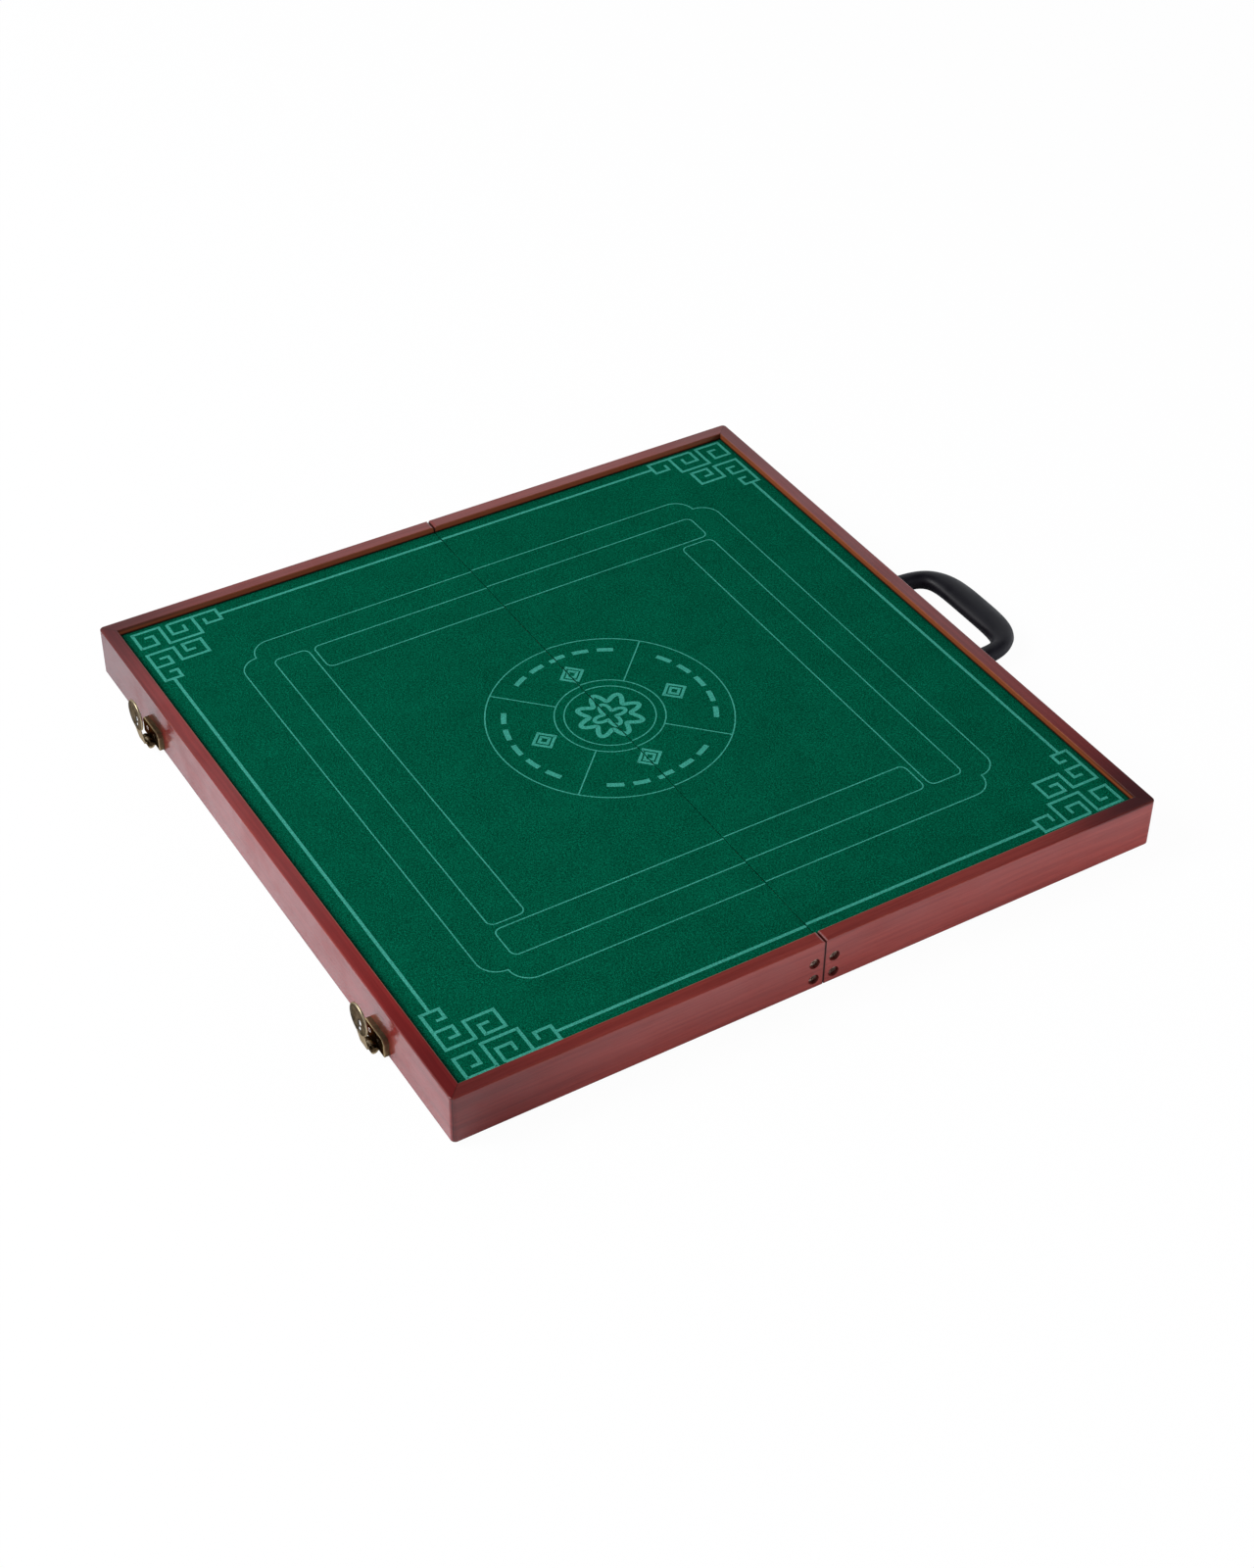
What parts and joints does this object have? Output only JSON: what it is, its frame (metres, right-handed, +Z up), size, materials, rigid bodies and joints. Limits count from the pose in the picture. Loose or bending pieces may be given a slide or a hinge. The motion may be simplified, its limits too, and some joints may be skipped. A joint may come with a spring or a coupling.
{
  "type": "folding mahjong table top with drawers",
  "caption": "Square mahjong table top in two hinged halves, with a felt playing face, a drawer in each half, latches on one end and a carrying handle on the other.",
  "frame": {"origin": "on the floor, under the middle of the seam between the halves", "axes": "+X from the latch end to the handle end, +Y from the plain front to the drawers' side, +Z up"},
  "size_m": [0.8052, 0.714, 0.058],
  "materials": {
    "rail_wood": "red-brown satin varnish",
    "panel_ply": "bare plywood",
    "drawer_wood": "bare planed wood",
    "felt": "napped green felt with a printed pattern",
    "bronze": "antique bronze",
    "hinge_brass": "satin brass",
    "screw_steel": "zinc plated",
    "handle_plastic": "moulded, near black",
    "foot_rubber": "moulded"
  },
  "bodies": {
    "left_half": {"left_end_rail": "rail_wood", "left_front_rail": "rail_wood", "left_back_rail": "rail_wood", "left_seam_rail": "rail_wood", "left_play_panel": "panel_ply", "left_felt": "felt", "left_base_panel": "panel_ply", "left_feet": "foot_rubber", "left_drawer_guides": "drawer_wood", "left_seam_rail_screws": "screw_steel", "near_hinge_left_leaf": "hinge_brass", "far_hinge_left_leaf": "hinge_brass", "near_hinge_pin": "screw_steel", "far_hinge_pin": "screw_steel", "left_hinge_screws": "hinge_brass", "near_latch_plate": "bronze", "far_latch_plate": "bronze", "near_latch_pin": "bronze", "far_latch_pin": "bronze", "latch_screws": "bronze"},
    "right_half": {"right_end_rail": "rail_wood", "right_front_rail": "rail_wood", "right_back_rail": "rail_wood", "right_seam_rail": "rail_wood", "right_play_panel": "panel_ply", "right_felt": "felt", "right_base_panel": "panel_ply", "right_feet": "foot_rubber", "right_drawer_guides": "drawer_wood", "right_seam_rail_screws": "screw_steel", "near_hinge_right_leaf": "hinge_brass", "far_hinge_right_leaf": "hinge_brass", "right_hinge_screws": "hinge_brass", "near_strike_plate": "bronze", "far_strike_plate": "bronze", "strike_screws": "bronze", "carry_handle": "handle_plastic", "handle_screws": "screw_steel"},
    "near_tongue": {"near_latch_tongue": "bronze"},
    "far_tongue": {"far_latch_tongue": "bronze"},
    "left_drawer": {"left_drawer_front": "rail_wood", "left_drawer_sides": "drawer_wood", "left_drawer_back": "drawer_wood", "left_drawer_bottom": "panel_ply", "left_drawer_knob": "bronze"},
    "right_drawer": {"right_drawer_front": "rail_wood", "right_drawer_sides": "drawer_wood", "right_drawer_back": "drawer_wood", "right_drawer_bottom": "panel_ply", "right_drawer_knob": "bronze"}
  },
  "joints": [
    {"name": "fold", "type": "hinge", "parent": "left_half", "child": "right_half", "pos_m": [0, 0, 0.0036], "axis": [0, 1, 0], "range_deg": [0, 180]},
    {"name": "near_latch", "type": "hinge", "parent": "left_half", "child": "near_tongue", "pos_m": [-0.3586, -0.225, 0.0086], "axis": [0, -1, 0], "range_deg": [-8, 162]},
    {"name": "far_latch", "type": "hinge", "parent": "left_half", "child": "far_tongue", "pos_m": [-0.3586, 0.225, 0.0086], "axis": [0, -1, 0], "range_deg": [-8, 162]},
    {"name": "left_drawer_slide", "type": "slide", "parent": "left_half", "child": "left_drawer", "axis": [0, 1, 0], "range_m": [0, 0.16]},
    {"name": "right_drawer_slide", "type": "slide", "parent": "right_half", "child": "right_drawer", "axis": [0, 1, 0], "range_m": [0, 0.16]}
  ]
}
